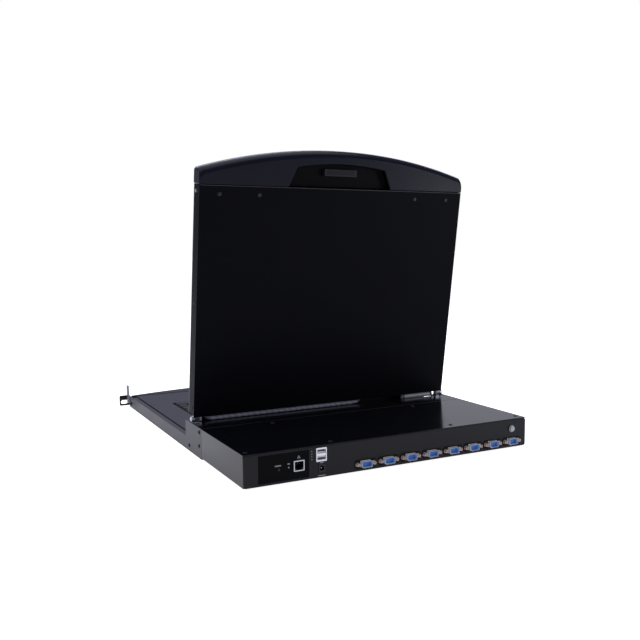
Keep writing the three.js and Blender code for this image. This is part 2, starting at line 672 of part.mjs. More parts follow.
function lidBezel() {
  const thickness = [lidFront, lidFront + bezelThickness];
  const plate = box([-lidHalf, lidHalf], thickness, [lidBottom, lidSeam]);
  const lipHalf = hingePlateOuter - hingePlate.thickness - bezelLip.sideGap;
  const frame = join(plate, box([-lipHalf, lipHalf], thickness, [bezelLip.bottom, lidBottom + sink]));
  const through = [lidFront - past, lidFront + bezelThickness + past];
  const window = box(span(0, screen.width), through, span(screen.middle, screen.height));
  const power = rod("y", powerButton.radius + runGap, ...through, [powerButton.x, buttonRow], round.fine);
  const keys = osdKeyList.map((index) =>
    box(span(buttonHoleX(index), osdKey.width, runGap), through, span(buttonRow, osdKey.height, runGap)),
  );
  return cut(frame, window, power, ...keys);
}

function displayPanel() {
  const front = lidFront + bezelThickness + seatGap;
  return box(span(0, panel.width), [front, front + panel.depth], span(screen.middle, panel.height));
}

function osdKeys() {
  const webFront = lidFront + bezelThickness + runGap;
  const height = span(buttonRow, osdKey.height);
  const webX = [osdKey.x - osdKey.width / 2, buttonHoleX(osdKey.count - 1) + osdKey.width / 2];
  const web = box(webX, [webFront, webFront + osdKey.web], height);
  const capY = [lidFront - osdKey.proud, webFront + sink];
  return join(web, ...osdKeyList.map((index) => box(span(buttonHoleX(index), osdKey.width), capY, height)));
}

function powerButtonSolid() {
  const [front, back] = [lidFront - powerButton.proud, lidFront + bezelThickness + powerButton.tail];
  return rod("y", powerButton.radius, front, back, [powerButton.x, buttonRow], round.fine);
}

function hingeArmSolid(side) {
  const x = mirrored(side, [hingeArmInner, hingeArmOuter]);
  const barrel = rod("x", hingeKnuckle, ...x, [0, 0], round.fine);
  const arm = box(x, [hingeArm.front, hingeArm.back], [0, hingeArm.rise]);
  const boreX = mirrored(side, [hingeArmInner - past, hingeArmOuter + past]);
  const bore = rod("x", hingePin + runGap, ...boreX, [0, 0], round.fine);
  const bossX = mirrored(side, [hingeArmOuter - sink, lidHalf + hingeBoss.proud]);
  const { radius, s, trim } = hingeBoss;
  const trimX = mirrored(side, [hingeArmOuter + hair, lidHalf + hingeBoss.proud + past]);
  const bossTrim = box(trimX, [-trim, trim], [lidBottom - seatGap, lidBottom + trim]);
  const boss = cut(rod("x", radius, ...bossX, [0, s], round.fine), bossTrim);
  return cut(join(barrel, arm, boss), bore);
}

function latchPinSolid(side) {
  const tip = lidHalf + latchPin.proud;
  const lengthX = mirrored(side, [tip - latchPin.length, tip]);
  return rod("x", latchPin.radius, ...lengthX, latchPinAt, round.plain);
}

function latchSliderSolid() {
  const bottom = recess.floor + seatGap;
  const top = bottom + latchSlider.depth;
  const middle = lidSeam + latchSlider.rise;
  const base = box(span(0, latchSlider.width), [bottom, top], span(middle, latchSlider.height));
  const ribX = span(0, latchSlider.width - 2 * latchRib.inset);
  const ribs = Array.from({ length: latchRib.count }, (_, index) => {
    const offset = (index - (latchRib.count - 1) / 2) * latchRib.pitch;
    return box(ribX, [top - sink, top + latchRib.width], span(middle + offset, latchRib.width));
  });
  return join(base, ...ribs);
}

// The harness runs along under the lid, and both of its ends turn up through slots into the lid.
const cableRight = hingeArmInner - cable.sideGap;
const cableEnds = [cable.left - cable.bend, cableRight + cable.bend];

function cableSlots() {
  const slotY = span(cable.t, 2 * (cable.radius + runGap));
  return cableEnds.map((x) => box(span(x, 2 * cable.radius + cable.slotPlay), slotY, throughLidFoot));
}

function harness() {
  const at = (x, s) => new THREE.Vector3(x, cable.t, s);
  const low = cable.s;
  const high = cable.s + cable.bend;
  const [left, right] = cableEnds;
  const path = new THREE.CurvePath();
  path.add(new THREE.LineCurve3(at(right, cable.top), at(right, high)));
  path.add(new THREE.QuadraticBezierCurve3(at(right, high), at(right, low), at(cableRight, low)));
  path.add(new THREE.LineCurve3(at(cableRight, low), at(cable.left, low)));
  path.add(new THREE.QuadraticBezierCurve3(at(cable.left, low), at(left, low), at(left, high)));
  path.add(new THREE.LineCurve3(at(left, high), at(left, cable.top)));
  const section = new THREE.Shape().absarc(0, 0, cable.radius, 0, Math.PI * 2, false);
  const settings = { steps: 60, extrudePath: path, bevelEnabled: false, curveSegments: 5 };
  return toSolid(new THREE.ExtrudeGeometry(section, settings));
}

function hingeTubeSolid() {
  const from = -hingeArmInner + hingeTube.sideGap;
  return rod("x", hingeTube.radius, from, from + hingeTube.length, [0, cable.s], round.fine);
}

piece(lid, "lid_back", lidShell(), "blackSteel");
piece(lid, "lid_handle", handle(), "darkPlastic");
piece(lid, "lid_bezel", lidBezel(), "darkPlastic");
piece(lid, "display_panel", displayPanel(), "screenGlass");
piece(lid, "osd_keys", osdKeys(), "darkPlastic");
piece(lid, "power_button", powerButtonSolid(), "darkPlastic");
piece(lid, "latch_slider", latchSliderSolid(), "zinc");
piece(lid, "hinge_tube", hingeTubeSolid(), "nickel");
piece(lid, "cable_harness", harness(), "cableSleeve");
for (const [name, side] of Object.entries(sides)) {
  piece(lid, "hinge_arm_" + name, hingeArmSolid(side), "zinc");
  piece(lid, "latch_pin_" + name, latchPinSolid(side), "zinc");
}

export default part;
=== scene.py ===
"""Looks for the rack console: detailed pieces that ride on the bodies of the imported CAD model."""
import json
import math

import bmesh
import bpy
from mathutils import Matrix, Vector


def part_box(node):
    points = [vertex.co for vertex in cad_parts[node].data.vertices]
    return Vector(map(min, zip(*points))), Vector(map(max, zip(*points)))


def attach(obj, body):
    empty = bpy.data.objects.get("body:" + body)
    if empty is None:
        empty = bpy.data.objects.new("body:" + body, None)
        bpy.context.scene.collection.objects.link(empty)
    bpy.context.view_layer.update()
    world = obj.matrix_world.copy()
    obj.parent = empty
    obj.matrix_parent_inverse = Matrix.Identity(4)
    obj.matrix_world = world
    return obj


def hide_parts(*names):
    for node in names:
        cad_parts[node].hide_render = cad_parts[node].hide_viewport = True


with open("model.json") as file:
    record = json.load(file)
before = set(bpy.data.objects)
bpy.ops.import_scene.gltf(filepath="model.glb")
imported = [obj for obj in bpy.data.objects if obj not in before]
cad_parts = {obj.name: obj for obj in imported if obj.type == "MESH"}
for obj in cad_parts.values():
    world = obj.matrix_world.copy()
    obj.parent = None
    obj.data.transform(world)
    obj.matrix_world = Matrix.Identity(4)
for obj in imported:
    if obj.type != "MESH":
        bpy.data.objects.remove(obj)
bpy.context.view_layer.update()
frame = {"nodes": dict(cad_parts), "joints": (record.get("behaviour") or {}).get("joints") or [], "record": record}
NODES = frame["nodes"]
BODY_OF = {node: body for body, members in frame["record"]["behaviour"]["bodies"].items() for node in members}
SLOT_OF = {part["node"]: part["material_slot"] for part in frame["record"]["subparts"]}
SIDES = {"right": 1, "left": -1}
MM = 0.001

# ---- camera, lights and floor ---------------------------------------------------------------------


def make_camera():
    """Stands behind the console's right rear corner, a little above its top."""
    place = Vector((0.5617, 1.1598, 0.2974))
    heading, drop, roll = (math.radians(degrees) for degrees in (-27.36, 5.47, -0.31))
    reach = math.cos(drop)
    forward = Vector((math.sin(heading) * reach, -math.cos(heading) * reach, -math.sin(drop)))
    level = forward.cross(Vector((0, 0, 1))).normalized()
    upright = level.cross(forward)
    right = level * math.cos(roll) + upright * math.sin(roll)
    up = upright * math.cos(roll) - level * math.sin(roll)
    data = bpy.data.cameras.new("camera")
    data.sensor_width = 36
    data.lens = 43.4
    camera = bpy.data.objects.new("camera", data)
    turn = Matrix((right, up, -forward)).transposed().to_4x4()
    camera.matrix_world = Matrix.Translation(place) @ turn
    bpy.context.scene.collection.objects.link(camera)
    bpy.context.scene.camera = camera


def area_light(name, place, target, size, power, tint=(0.9, 0.9, 1)):
    """A soft rectangular light: place, target and size in metres, power in watts."""
    data = bpy.data.lights.new(name, "AREA")
    data.shape = "RECTANGLE"
    data.size, data.size_y = size
    data.energy = power
    data.color = tint
    light = bpy.data.objects.new(name, data)
    aim = (Vector(target) - Vector(place)).to_track_quat("-Z", "Y")
    light.matrix_world = Matrix.Translation(place) @ aim.to_matrix().to_4x4()
    bpy.context.scene.collection.objects.link(light)


def make_world():
    """White to the camera, and a dimmer bluish grey in everything that the surfaces mirror."""
    bpy.context.scene.view_settings.view_transform = "Standard"
    world = bpy.data.worlds.new("studio")
    bpy.context.scene.world = world
    world.use_nodes = True
    tree = world.node_tree
    tree.nodes.clear()
    seen = tree.nodes.new("ShaderNodeLightPath")
    pale = tree.nodes.new("ShaderNodeBackground")
    pale.inputs["Color"].default_value = (1, 1, 1, 1)
    pale.inputs["Strength"].default_value = 1.0
    soft = tree.nodes.new("ShaderNodeBackground")
    soft.inputs["Color"].default_value = (0.8, 0.81, 1, 1)
    soft.inputs["Strength"].default_value = 0.3
    mix = tree.nodes.new("ShaderNodeMixShader")
    out = tree.nodes.new("ShaderNodeOutputWorld")
    tree.links.new(seen.outputs["Is Camera Ray"], mix.inputs["Fac"])
    tree.links.new(soft.outputs["Background"], mix.inputs[1])
    tree.links.new(pale.outputs["Background"], mix.inputs[2])
    tree.links.new(mix.outputs["Shader"], out.inputs["Surface"])


def make_lights():
    centre = (0, 0.05, 0.1)
    handle = (0, 0, 0.42)
    right_end = (-0.2, 0.1, 0.03)
    area_light("overhead", (0.2, 0.1, 1.9), centre, (2.2, 2.2), 24)
    area_light("from_right", (2.0, -0.5, 0.9), centre, (1.2, 1.4), 13)
    area_light("from_rear_left", (-2.2, 2.2, 0.7), centre, (1.4, 1.0), 10)
    area_light("low_left", (-1.25, 1.25, 0.12), right_end, (0.6, 0.18), 1.1)
    area_light("rim", (-0.9, -1.7, 1.55), handle, (2.6, 0.5), 10, (0.74, 0.79, 1))
    area_light("from_front_left", (-1.8, -1.4, 1.0), centre, (1.4, 1.2), 2)


def make_floor():
    """Pale paper that glows a little, so that it stays white to the camera out to the horizon."""
    width, below, glow_mirrored, glow_seen = 40, 0.0005, 0.3, 0.93
    bpy.ops.mesh.primitive_plane_add(size=width, location=(0, 0, -below))
    floor = bpy.context.object
    floor.name = "floor"
    material = bpy.data.materials.new("floor_paper")
    material.use_nodes = True
    shader = material.node_tree.nodes["Principled BSDF"]
    shader.inputs["Base Color"].default_value = (0.93, 0.93, 0.93, 1)
    shader.inputs["Roughness"].default_value = 0.9
    shader.inputs["Emission Color"].default_value = (1, 1, 1, 1)
    seen = material.node_tree.nodes.new("ShaderNodeLightPath")
    glow = material.node_tree.nodes.new("ShaderNodeMapRange")
    glow.inputs["To Min"].default_value = glow_mirrored
    glow.inputs["To Max"].default_value = glow_seen
    material.node_tree.links.new(seen.outputs["Is Camera Ray"], glow.inputs["Value"])
    material.node_tree.links.new(glow.outputs["Result"], shader.inputs["Emission Strength"])
    floor.data.materials.append(material)


make_camera()
make_world()
make_lights()
make_floor()

# ---- materials ------------------------------------------------------------------------------------


def finish_material(name, base, rough, metal=0.0, grain=900, depth=0.02, vary=0.12, specular=0.5):
    """A procedural finish: fine grain in the bump, slow variation in the colour and the roughness."""
    fine_share, slow_share, bump_strength, rough_swing, least_rough = 0.35, 0.65, 0.35, 0.06, 0.03
    material = bpy.data.materials.new(name)
    material.use_nodes = True
    tree = material.node_tree
    shader = tree.nodes["Principled BSDF"]
    shader.inputs["Metallic"].default_value = metal
    shader.inputs["Specular IOR Level"].default_value = specular
    place = tree.nodes.new("ShaderNodeTexCoord")
    fine = tree.nodes.new("ShaderNodeTexNoise")
    fine.inputs["Scale"].default_value = grain
    fine.inputs["Detail"].default_value = 4
    slow = tree.nodes.new("ShaderNodeTexNoise")
    slow.inputs["Scale"].default_value = 14
    slow.inputs["Detail"].default_value = 5
    tree.links.new(place.outputs["Object"], fine.inputs["Vector"])
    tree.links.new(place.outputs["Object"], slow.inputs["Vector"])
    bump = tree.nodes.new("ShaderNodeBump")
    bump.inputs["Strength"].default_value = bump_strength
    bump.inputs["Distance"].default_value = depth * MM
    tree.links.new(fine.outputs["Fac"], bump.inputs["Height"])
    tree.links.new(bump.outputs["Normal"], shader.inputs["Normal"])
    shade = tree.nodes.new("ShaderNodeValToRGB")
    shade.color_ramp.elements[0].position = 0.3
    shade.color_ramp.elements[1].position = 0.7
    shade.color_ramp.elements[0].color = [c * (1 - vary) for c in base] + [1]
    shade.color_ramp.elements[1].color = [min(1, c * (1 + vary)) for c in base] + [1]
    both = tree.nodes.new("ShaderNodeMath")
    both.operation = "MULTIPLY_ADD"
    both.inputs[1].default_value = fine_share
    tree.links.new(fine.outputs["Fac"], both.inputs[0])
    scaled = tree.nodes.new("ShaderNodeMath")
    scaled.operation = "MULTIPLY"
    scaled.inputs[1].default_value = slow_share
    tree.links.new(slow.outputs["Fac"], scaled.inputs[0])
    tree.links.new(scaled.outputs[0], both.inputs[2])
    tree.links.new(both.outputs[0], shade.inputs["Fac"])
    tree.links.new(shade.outputs["Color"], shader.inputs["Base Color"])
    polish = tree.nodes.new("ShaderNodeMapRange")
    polish.inputs["To Min"].default_value = max(least_rough, rough - rough_swing)
    polish.inputs["To Max"].default_value = min(1, rough + rough_swing)
    tree.links.new(slow.outputs["Fac"], polish.inputs["Value"])
    tree.links.new(polish.outputs["Result"], shader.inputs["Roughness"])
    return material


FINISHES = {
    "black_steel": dict(base=(0.0105, 0.0102, 0.0155), rough=0.42, grain=1800, depth=0.03, specular=0.22),
    "panel_steel": dict(base=(0.003, 0.003, 0.0045), rough=0.33, grain=1800, depth=0.012, specular=0.24),
    "rail_steel": dict(base=(0.032, 0.03, 0.038), rough=0.4, grain=1800, depth=0.03, specular=0.35),
    "cover_steel": dict(base=(0.0025, 0.0028, 0.0045), rough=0.14, grain=1800, depth=0.004, specular=0.3),
    "lid_sheet": dict(base=(0.0025, 0.0027, 0.0045), rough=0.42, grain=1800, depth=0.02, specular=0.04),
    "plate_black": dict(base=(0.002, 0.002, 0.003), rough=0.4, grain=2200, depth=0.02, specular=0.05),
    "dark_plastic": dict(base=(0.012, 0.012, 0.017), rough=0.38, grain=2600, depth=0.02, specular=0.3),
    "handle_plastic": dict(base=(0.0035, 0.0045, 0.0105), rough=0.24,
                           grain=2600, depth=0.006, specular=0.16),
    "deck_plastic": dict(base=(0.034, 0.033, 0.042), rough=0.5, grain=2600, depth=0.03, specular=0.3),
    "key_plastic": dict(base=(0.013, 0.013, 0.016), rough=0.45, grain=2600, depth=0.03, specular=0.3),
    "zinc": dict(base=(0.5, 0.52, 0.55), rough=0.35, metal=1.0, grain=700, depth=0.02),
    "screw_zinc": dict(base=(0.34, 0.35, 0.38), rough=0.42, metal=0.7, grain=700, depth=0.02),
    "nickel": dict(base=(0.78, 0.78, 0.8), rough=0.42, metal=0.65, grain=500, depth=0.008, vary=0.06),
    "brass": dict(base=(0.66, 0.56, 0.51), rough=0.42, metal=1.0, grain=500, depth=0.008, vary=0.08),
    "port_blue": dict(base=(0.03, 0.21, 0.68), rough=0.4, grain=2600, depth=0.015, specular=0.3),
    "port_black": dict(base=(0.003, 0.003, 0.0035), rough=0.55, grain=2600, depth=0.015, specular=0.1),
    "screw_black": dict(base=(0.012, 0.012, 0.015), rough=0.3, metal=0.3, grain=900, depth=0.01),
    "screen_glass": dict(base=(0.004, 0.005, 0.006), rough=0.1, grain=300, depth=0.001, vary=0.3),
    "cable_sleeve": dict(base=(0.34, 0.34, 0.41), rough=0.4, grain=1500, depth=0.03),
    "cable_core": dict(base=(0.2, 0.2, 0.24), rough=0.5, grain=1500, depth=0.03, specular=0.3),
    "tube_pale": dict(base=(0.4, 0.4, 0.45), rough=0.35, grain=900, depth=0.01),
    "circuit": dict(base=(0.02, 0.1, 0.04), rough=0.45, grain=600, depth=0.03, vary=0.35),
    "bush_pale": dict(base=(0.75, 0.8, 0.88), rough=0.4, grain=900, depth=0.02),
    "tongue_white": dict(base=(0.5, 0.5, 0.52), rough=0.45, grain=1500, depth=0.02),
    "light_amber": dict(base=(0.05, 0.025, 0.006), rough=0.25, grain=900, depth=0.01),
    "lamp_clear": dict(base=(0.2, 0.21, 0.2), rough=0.15, grain=900, depth=0.01),
    "mark_white": dict(base=(0.34, 0.34, 0.37), rough=0.6, grain=2600, depth=0.003),
}
MATERIALS = {name: finish_material(name, **look) for name, look in FINISHES.items()}

# ---- mesh helpers ---------------------------------------------------------------------------------


def dress(obj, *finishes):
    obj.data.materials.clear()
    for finish in finishes:
        obj.data.materials.append(MATERIALS[finish])


def apply_modifiers(obj):
    graph = bpy.context.evaluated_depsgraph_get()
    shown = obj.evaluated_get(graph)
    made = bpy.data.meshes.new_from_object(shown, preserve_all_data_layers=True, depsgraph=graph)
    old = obj.data
    obj.modifiers.clear()
    obj.data = made
    bpy.data.meshes.remove(old)


def round_edges(obj, width, steps, angle=32):
    """Rounds the sharp edges of a mesh object by a width in millimetres."""
    bevel = obj.modifiers.new("round_edges", "BEVEL")
    bevel.width = width * MM
    bevel.segments = steps
    bevel.limit_method = "ANGLE"
    bevel.angle_limit = math.radians(angle)
    bevel.use_clamp_overlap = True
    obj.modifiers.new("flat_normals", "WEIGHTED_NORMAL")
    for face in obj.data.polygons:
        face.use_smooth = True
    apply_modifiers(obj)


def cut_away(obj, cutter):
    """Takes the cutter's space out of a mesh object, and drops the cutter."""
    boolean = obj.modifiers.new("cut", "BOOLEAN")
    boolean.operation = "DIFFERENCE"
    boolean.solver = "EXACT"
    boolean.object = cutter
    bpy.context.view_layer.update()
    apply_modifiers(obj)
    bpy.data.objects.remove(cutter)


def make_object(name, shape):
    """A scene object from a bmesh, with its faces smooth and its edges sharp past 35 degrees."""
    bmesh.ops.recalc_face_normals(shape, faces=shape.faces)
    mesh = bpy.data.meshes.new(name)
    shape.to_mesh(mesh)
    shape.free()
    for face in mesh.polygons:
        face.use_smooth = True
    mesh.set_sharp_from_angle(angle=math.radians(35))
    obj = bpy.data.objects.new(name, mesh)
    bpy.context.scene.collection.objects.link(obj)
    return obj


def settle(obj, finish, body, instead_of=()):
    """Finishes a piece: its material, the body it rides on and the CAD nodes it stands for."""
    dress(obj, finish)
    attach(obj, body)
    if instead_of:
        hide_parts(*instead_of)


def loft(shape, rings, start_cap=True, end_cap=True):
    """Joins rings of points, all with the same count, into one skin."""
    rows = [[shape.verts.new(point) for point in ring] for ring in rings]
    count = len(rows[0])
    for low, high in zip(rows, rows[1:]):
        for index in range(count):
            after = (index + 1) % count
            shape.faces.new((low[index], low[after], high[after], high[index]))
    if start_cap:
        shape.faces.new(list(reversed(rows[0])))
    if end_cap:
        shape.faces.new(rows[-1])


def turned(shape, profile, place, towards, steps=24):
    """Turns a profile of (radius, distance) pairs in millimetres about an axis through a place."""
    frame_of = Vector(towards).to_track_quat("Z", "Y").to_matrix()
    rings = []
    for radius, distance in profile:
        ring = []
        for step in range(steps):
            angle = 2 * math.pi * step / steps
            local = Vector((radius * math.cos(angle), radius * math.sin(angle), distance)) * MM
            ring.append(Vector(place) + frame_of @ local)
        rings.append(ring)
    loft(shape, rings)


def block(shape, low, high, transform=Matrix()):
    """A box between two corners in metres."""
    corners = [Vector((x, y, z)) for z in (low[2], high[2]) for x, y in
               ((low[0], low[1]), (high[0], low[1]), (high[0], high[1]), (low[0], high[1]))]
    loft(shape, [[transform @ c for c in corners[:4]], [transform @ c for c in corners[4:]]])


def rounded_loop(half_width, half_height, radius, steps=4):
    """Points round a rounded rectangle in its own plane, in millimetres."""
    points = []
    for corner, (sx, sy) in enumerate(((1, 1), (-1, 1), (-1, -1), (1, -1))):
        for step in range(steps + 1):
            angle = math.radians(90 * (corner + step / steps))
            x = sx * (half_width - radius) + radius * math.cos(angle)
            y = sy * (half_height - radius) + radius * math.sin(angle)
            points.append((x, y))
    return points


def rounded_box(shape, low, high, radius, edge, transform=Matrix(), steps=4):
    """A box in millimetres, round in plan with that corner radius and with its top edge eased."""
    middle = [(a + b) / 2 for a, b in zip(low, high)]
    half = [(b - a) / 2 for a, b in zip(low, high)]
    rings = []
    for inset, z in ((0, low[2]), (0, high[2] - edge), (edge * 0.3, high[2] - edge * 0.3), (edge, high[2])):
        loop = rounded_loop(half[0] - inset, half[1] - inset, max(radius - inset, 0.05), steps)
        rings.append([transform @ (Vector((middle[0] + x, middle[1] + y, z)) * MM) for x, y in loop])
    loft(shape, rings)


# ---- places worked out from the frame --------------------------------------------------------------

JOINTS = {joint["name"]: joint for joint in frame["joints"]}
PIVOT = Vector(JOINTS["lid_hinge"]["pos_m"])
PRESS = JOINTS["osd_press"]["axis"]
LEAN = math.atan2(-PRESS[2], PRESS[1])
LID = Matrix.Translation(PIVOT) @ Matrix.Rotation(-LEAN, 4, "X")
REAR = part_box("rear_panel")[1].y
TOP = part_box("module_cover")[1].z
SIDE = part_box("module_cover")[1].x
RAIL_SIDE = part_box("side_rail_right")[1].x
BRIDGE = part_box("rear_bridge")
COLLAR = 0.0011  # how far the socket collars stand out of the rear panel
UP, BACK = Vector((0, 0, 1)), Vector((0, 1, 0))


def centre(node):
    low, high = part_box(node)
    return (low + high) / 2


# ---- CAD nodes with eased edges -------------------------------------------------------------------

NODE_FINISH = {
    "lid_back": "lid_sheet",
    "module_cover": "cover_steel",
    "rear_bridge": "cover_steel",
    "rear_panel": "panel_steel",
    "lan_plate": "plate_black",
    "lan_jack": "port_black",
    "lid_handle": "handle_plastic",
    "hinge_tube": "tube_pale",
    "latch_slider": "black_steel",
    "ground_screw": "screw_zinc",
    "side_rail_right": "rail_steel",
    "side_rail_left": "rail_steel",
} | {f"slide_{member}_{side}": "rail_steel" for member in ("outer", "middle", "inner") for side in SIDES}
SOFT_EDGE = {
    "lid_handle": (1.8, 5),
    "lid_back": (0.7, 3),
    "lid_bezel": (0.5, 2),
    "front_bezel": (1.4, 4),
    "module_cover": (0.5, 3),
    "rear_panel": (0.15, 1),
    "palm_rest": (0.5, 2),
    "keyboard_deck": (0.4, 2),
    "touchpad": (0.3, 2),
    "power_button": (0.5, 3),
    "hinge_tube": (0.5, 2),
    "display_panel": (0.2, 1),
    "usb_stack": (0.15, 1),
    "lan_jack": (0.15, 1),
}
PLAIN_EDGE = (0.22, 2)
KEY_ROWS = [f"key_row_{row}" for row in range(1, 7)]
PORT_NUMBERS = range(1, 9)
VIDEO_PORTS = [f"video_port_{port}" for port in PORT_NUMBERS]
REBUILT = {"cable_harness", *KEY_ROWS, *VIDEO_PORTS}


def clean_copy(node, name):
    """A copy of a CAD node's mesh with its shared corners merged and its flat faces joined."""
    shape = bmesh.new()
    shape.from_mesh(NODES[node].data)
    bmesh.ops.remove_doubles(shape, verts=shape.verts, dist=0.002 * MM)
    bmesh.ops.dissolve_limit(shape, angle_limit=math.radians(0.4), verts=shape.verts, edges=shape.edges)
    bmesh.ops.recalc_face_normals(shape, faces=shape.faces)
    mesh = bpy.data.meshes.new(name)
    shape.to_mesh(mesh)
    shape.free()
    obj = bpy.data.objects.new(name, mesh)
    bpy.context.scene.collection.objects.link(obj)
    return obj


def crown(obj, width, steps):
    """Rounds the handle's arched rear edge, and not the recess's, by a wide radius in millimetres."""
    near, foot_rise, recess_reach, arch_rise = 0.5, 5, 90, 20
    unlean = LID.inverted()
    shape = bmesh.new()
    shape.from_mesh(obj.data)
    local = {v: unlean @ v.co / MM for v in shape.verts}
    rear = max(p.y for p in local.values())
    foot, reach = min(p.z for p in local.values()), max(p.x for p in local.values())
    side_top = max(p.z for p in local.values() if p.x > reach - near)

    def on_arch(edge):
        ends = [local[vertex] for vertex in edge.verts]
        at_back = all(p.y > rear - near and p.z > foot + foot_rise for p in ends)
        outside_recess = max(abs(p.x) for p in ends) > recess_reach
        above_recess = min(p.z for p in ends) > side_top + arch_rise
        return at_back and max(p.z for p in ends) > side_top - 1 and (outside_recess or above_recess)

    rims = [edge for edge in shape.edges if on_arch(edge)]
    bmesh.ops.bevel(shape, geom=rims, offset=width * MM, segments=steps, profile=0.5, affect="EDGES",
                    clamp_overlap=True)
    shape.to_mesh(obj.data)
    shape.free()


def shade_recess(obj):
    """Paints shade into the finger recess: its floor and walls get a darker material than the handle's face."""
    obj.data.materials.append(MATERIALS["plate_black"])
    deepest, shallowest, half_width, top, turned_away = 0.03, 0.0006, 0.0885, 0.3815, -0.3
    unlean = LID.inverted()
    rear = max((unlean @ vertex.co).y for vertex in obj.data.vertices)
    for face in obj.data.polygons:
        spot = unlean @ face.center
        within = abs(spot.x) < half_width and spot.z < top and face.normal.y > turned_away
        if within and rear - deepest < spot.y < rear - shallowest:
            # painted shade: faces inside the recess take the darker second material
            face.material_index = 1


def soften(node):
    """Stands a copy with eased edges in for a CAD node, on the same body."""
    piece = clean_copy(node, node + "_soft")
    if node == "lid_handle":
        crown(piece, width=11, steps=8)
    round_edges(piece, *SOFT_EDGE.get(node, PLAIN_EDGE))
    settle(piece, NODE_FINISH.get(node, SLOT_OF[node]), BODY_OF[node], (node,))
    if node == "lid_handle":
        # the handle's finger recess gets painted shade
        shade_recess(piece)


for node, obj in NODES.items():
    dress(obj, NODE_FINISH.get(node, SLOT_OF[node]))
    if node not in REBUILT:
        soften(node)

# ---- screws ---------------------------------------------------------------------------------------


def screw_mesh(radius, height):
    """A round-headed screw with a cross recess, in millimetres, its head rising along +Z from 0."""
    shape = bmesh.new()
    sunk = 0.6
    dome = [(radius, -sunk), (radius, height * 0.35), (radius * 0.93, height * 0.68),
            (radius * 0.72, height * 0.93), (radius * 0.4, height)]
    turned(shape, dome, (0, 0, 0), UP, 28)
    head = make_object("screw_head", shape)
    for turn in (0, 90):
        slot = bmesh.new()
        arm, width, deep = radius * 0.62, radius * 0.13, height * 0.25
        corners = ((1, 1), (-1, 1), (-1, -1), (1, -1))
        loft(slot, [[Vector((x * arm, y * width * grow, z)) * MM for x, y in corners]
                    for z, grow in ((deep, 0.5), (height + 1, 1.6))])
        cutter = make_object("screw_slot", slot)
        cutter.rotation_euler.z = math.radians(turn)
        cut_away(head, cutter)
    mesh = head.data
    for face in mesh.polygons:
        face.use_smooth = True
    mesh.set_sharp_from_angle(angle=math.radians(30))
    bpy.data.objects.remove(head)
    return mesh


def scatter(name, mesh, places, finish, body):
    """One piece that holds a copy of a mesh at each (place, outward direction, turn)."""
    shape = bmesh.new()
    for place, outward, turn in places:
        copy = mesh.copy()
        aim = Vector(outward).to_track_quat("Z", "Y").to_matrix().to_4x4()
        copy.transform(Matrix.Translation(place) @ aim @ Matrix.Rotation(math.radians(turn), 4, "Z"))
        shape.from_mesh(copy)
        bpy.data.meshes.remove(copy)
    settle(make_object(name, shape), finish, body)


def make_screws():
    """Cover, bracket and lid screws, each head turned to its own angle."""
    flat = screw_mesh(radius=2.9, height=0.9)
    small = screw_mesh(radius=1.9, height=0.7)
    rear_row, rear_places = REAR - 0.0125, (-216, -97, 97, 216)
    front_row, front_places = REAR - 0.1445, (-121, 121)
    cover = [((x * MM, rear_row, TOP), UP, 20 * index) for index, x in enumerate(rear_places)]
    cover += [((x * MM, front_row, TOP), UP, 33 * index) for index, x in enumerate(front_places)]
    scatter("cover_screws", flat, cover, "screw_black", "housing")
    seam, bracket_places = BRIDGE[1].y, ((54.7, 8.5), (8.3, 37.7), (9.6, 17.7))
    front_end, front_height = REAR - 0.557, 0.0078
    bracket = []
    for side in SIDES.values():
        for back, height in bracket_places:
            bracket.append(((side * RAIL_SIDE, seam - back * MM, height * MM), (side, 0, 0), back * 7))
        bracket.append(((side * RAIL_SIDE, front_end, front_height), (side, 0, 0), 15))
    scatter("bracket_screws", flat, bracket, "port_black", "housing")
    outward = LID.to_3x3() @ BACK
    sheet_face, under_handle, lid_places = 4.5, 334, (-191, -131.5, 131.5, 191)
    lid = [(LID @ (Vector((x, sheet_face, under_handle)) * MM), outward, 12 + abs(x)) for x in lid_places]
    scatter("lid_screws", flat, lid, "screw_black", "lid")
    lid_side, mid_thickness = 219.8, -6
    edge = [(LID @ (Vector((side * lid_side, mid_thickness, height)) * MM), (side, 0, 0), height)
            for side in (-1, 1) for height in (24, 180)]
    scatter("lid_side_screws", small, edge, "screw_black", "lid")


# ---- video sockets --------------------------------------------------------------------------------


def d_loop(centre_x, centre_z, y, top_half, bottom_half, half_height, radius, steps=4):
    """Points round a D-shaped outline that stands across Y, in millimetres, wider at its top."""
    corners = [(bottom_half, -half_height), (top_half, half_height),
               (-top_half, half_height), (-bottom_half, -half_height)]
    points = []
    for index, corner in enumerate(corners):
        here = Vector(corner)
        before = (Vector(corners[index - 1]) - here).normalized()
        after = (Vector(corners[(index + 1) % 4]) - here).normalized()
        reach = radius / math.tan(before.angle(after) / 2)
        start, end = here + before * reach, here + after * reach
        for step in range(steps + 1):
            t = step / steps
            point = start * (1 - t) ** 2 + here * (2 * t * (1 - t)) + end * t ** 2
            points.append(Vector(((centre_x + point.x) * MM, y * MM, (centre_z + point.y) * MM)))
    return points


